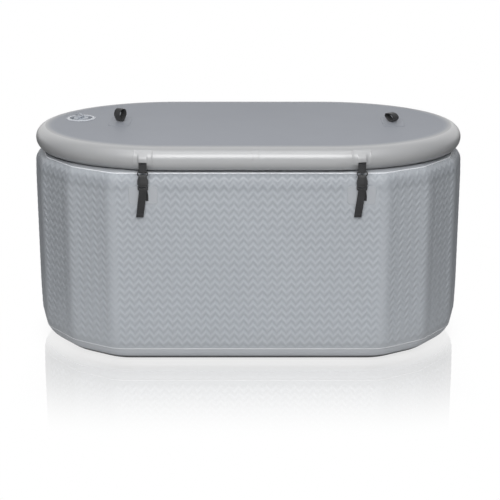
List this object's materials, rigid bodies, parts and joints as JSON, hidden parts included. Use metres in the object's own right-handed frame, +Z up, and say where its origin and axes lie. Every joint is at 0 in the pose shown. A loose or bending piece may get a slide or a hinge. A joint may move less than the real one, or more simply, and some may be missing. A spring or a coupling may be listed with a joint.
{
  "type": "cold plunge tub",
  "caption": "Oval inflatable cold plunge tub with a faceted drop-stitch wall and a lift-off inflatable lid held by webbing straps and side-release buckles.",
  "frame": {"origin": "on the ground under the middle of the tub", "axes": "+X along the tub's length to the right, -Y towards the front, +Z up"},
  "size_m": [1.5078, 0.827, 0.8076],
  "materials": {
    "wall_sheet": "satin",
    "band_sheet": "satin",
    "rail_sheet": "gloss",
    "lid_sheet": "matte",
    "air_threads": "matte",
    "webbing": "matte",
    "black_plastic": "satin",
    "pale_plastic": "satin",
    "seal_rubber": "matte",
    "spring_steel": "satin"
  },
  "bodies": {
    "tub": {"wall_core": "air_threads", "wall_outer_skin": "wall_sheet", "wall_inner_skin": "wall_sheet", "wall_top_band": "band_sheet", "wall_bottom_band": "band_sheet", "floor_sheet": "band_sheet", "drain_sleeve": "black_plastic", "drain_gasket": "seal_rubber", "drain_nut": "black_plastic", "wall_valve_body": "pale_plastic", "wall_valve_spring": "spring_steel", "buckle_plug_front_left": "black_plastic", "wall_patch_front_left": "band_sheet", "wall_webbing_front_left": "webbing", "buckle_plug_front_right": "black_plastic", "wall_patch_front_right": "band_sheet", "wall_webbing_front_right": "webbing", "buckle_plug_rear_left": "black_plastic", "wall_patch_rear_left": "band_sheet", "wall_webbing_rear_left": "webbing", "buckle_plug_rear_right": "black_plastic", "wall_patch_rear_right": "band_sheet", "wall_webbing_rear_right": "webbing"},
    "lid": {"lid_core": "air_threads", "lid_top_skin": "lid_sheet", "lid_bottom_skin": "lid_sheet", "lid_side_band": "rail_sheet", "handle_patch_left": "lid_sheet", "handle_patch_right": "lid_sheet", "lid_handle_left": "webbing", "lid_handle_right": "webbing", "lid_valve_body": "pale_plastic", "lid_valve_spring": "spring_steel", "lid_patch_front_left": "rail_sheet", "lid_webbing_front_left": "webbing", "buckle_socket_front_left": "black_plastic", "lid_patch_front_right": "rail_sheet", "lid_webbing_front_right": "webbing", "buckle_socket_front_right": "black_plastic", "lid_patch_rear_left": "rail_sheet", "lid_webbing_rear_left": "webbing", "buckle_socket_rear_left": "black_plastic", "lid_patch_rear_right": "rail_sheet", "lid_webbing_rear_right": "webbing", "buckle_socket_rear_right": "black_plastic"},
    "wall_valve_plunger": {"wall_valve_plunger": "seal_rubber"},
    "wall_valve_cap": {"wall_valve_cap": "pale_plastic"},
    "lid_valve_plunger": {"lid_valve_plunger": "seal_rubber"},
    "lid_valve_cap": {"lid_valve_cap": "pale_plastic"},
    "buckle_arm_a_front_left": {"buckle_arm_a_front_left": "black_plastic"},
    "buckle_arm_b_front_left": {"buckle_arm_b_front_left": "black_plastic"},
    "buckle_arm_a_front_right": {"buckle_arm_a_front_right": "black_plastic"},
    "buckle_arm_b_front_right": {"buckle_arm_b_front_right": "black_plastic"},
    "buckle_arm_a_rear_left": {"buckle_arm_a_rear_left": "black_plastic"},
    "buckle_arm_b_rear_left": {"buckle_arm_b_rear_left": "black_plastic"},
    "buckle_arm_a_rear_right": {"buckle_arm_a_rear_right": "black_plastic"},
    "buckle_arm_b_rear_right": {"buckle_arm_b_rear_right": "black_plastic"},
    "drain_plug": {"drain_plug": "black_plastic", "drain_plug_seal": "seal_rubber"}
  },
  "joints": [
    {"name": "lid_lift", "type": "slide", "parent": "tub", "child": "lid", "axis": [0, 0, 1], "range_m": [0, 0.6], "deforming": ["buckle_arm_a_front_left", "buckle_arm_b_front_left", "buckle_arm_a_front_right", "buckle_arm_b_front_right", "buckle_arm_a_rear_left", "buckle_arm_b_rear_left", "buckle_arm_a_rear_right", "buckle_arm_b_rear_right"]},
    {"name": "lid_valve_cap_flip", "type": "hinge", "parent": "lid", "child": "lid_valve_cap", "pos_m": [-0.62279, 0.10847, 0.7651], "axis": [-0.848, -0.5299, 0], "range_deg": [0, 135]},
    {"name": "lid_valve_press", "type": "slide", "parent": "lid", "child": "lid_valve_plunger", "axis": [0, 0, -1], "range_m": [0, 0.005], "stiffness_N_per_m": 200, "springref_m": -0.004, "deforming": ["lid_valve_spring"]},
    {"name": "wall_valve_cap_flip", "type": "hinge", "parent": "tub", "child": "wall_valve_cap", "pos_m": [0.18, 0.4051, 0.542], "axis": [-1, 0, 0], "range_deg": [0, 135]},
    {"name": "wall_valve_press", "type": "slide", "parent": "tub", "child": "wall_valve_plunger", "axis": [0, -1, 0], "range_m": [0, 0.005], "stiffness_N_per_m": 200, "springref_m": -0.004, "deforming": ["wall_valve_spring"]},
    {"name": "drain_plug_out", "type": "slide", "parent": "tub", "child": "drain_plug", "axis": [0, 1, 0], "range_m": [0, 0.08]},
    {"name": "buckle_squeeze_a_front_left", "type": "hinge", "parent": "tub", "child": "buckle_arm_a_front_left", "pos_m": [-0.357, -0.408, 0.6411], "axis": [0, 1, 0], "range_deg": [0, 13], "stiffness_Nm_per_rad": 0.05},
    {"name": "buckle_squeeze_b_front_left", "type": "hinge", "parent": "tub", "child": "buckle_arm_b_front_left", "pos_m": [-0.339, -0.408, 0.6411], "axis": [0, -1, 0], "range_deg": [0, 13], "stiffness_Nm_per_rad": 0.05},
    {"name": "buckle_squeeze_a_front_right", "type": "hinge", "parent": "tub", "child": "buckle_arm_a_front_right", "pos_m": [0.366, -0.408, 0.6411], "axis": [0, 1, 0], "range_deg": [0, 13], "stiffness_Nm_per_rad": 0.05},
    {"name": "buckle_squeeze_b_front_right", "type": "hinge", "parent": "tub", "child": "buckle_arm_b_front_right", "pos_m": [0.384, -0.408, 0.6411], "axis": [0, -1, 0], "range_deg": [0, 13], "stiffness_Nm_per_rad": 0.05},
    {"name": "buckle_squeeze_a_rear_left", "type": "hinge", "parent": "tub", "child": "buckle_arm_a_rear_left", "pos_m": [-0.356, 0.408, 0.6411], "axis": [0, -1, 0], "range_deg": [0, 13], "stiffness_Nm_per_rad": 0.05},
    {"name": "buckle_squeeze_b_rear_left", "type": "hinge", "parent": "tub", "child": "buckle_arm_b_rear_left", "pos_m": [-0.374, 0.408, 0.6411], "axis": [0, 1, 0], "range_deg": [0, 13], "stiffness_Nm_per_rad": 0.05},
    {"name": "buckle_squeeze_a_rear_right", "type": "hinge", "parent": "tub", "child": "buckle_arm_a_rear_right", "pos_m": [0.374, 0.408, 0.6411], "axis": [0, -1, 0], "range_deg": [0, 13], "stiffness_Nm_per_rad": 0.05},
    {"name": "buckle_squeeze_b_rear_right", "type": "hinge", "parent": "tub", "child": "buckle_arm_b_rear_right", "pos_m": [0.356, 0.408, 0.6411], "axis": [0, 1, 0], "range_deg": [0, 13], "stiffness_Nm_per_rad": 0.05}
  ],
  "couplings": [
    {"joint": "buckle_squeeze_b_front_left", "follows": "buckle_squeeze_a_front_left", "ratio": 1},
    {"joint": "buckle_squeeze_b_front_right", "follows": "buckle_squeeze_a_front_right", "ratio": 1},
    {"joint": "buckle_squeeze_b_rear_left", "follows": "buckle_squeeze_a_rear_left", "ratio": 1},
    {"joint": "buckle_squeeze_b_rear_right", "follows": "buckle_squeeze_a_rear_right", "ratio": 1}
  ]
}
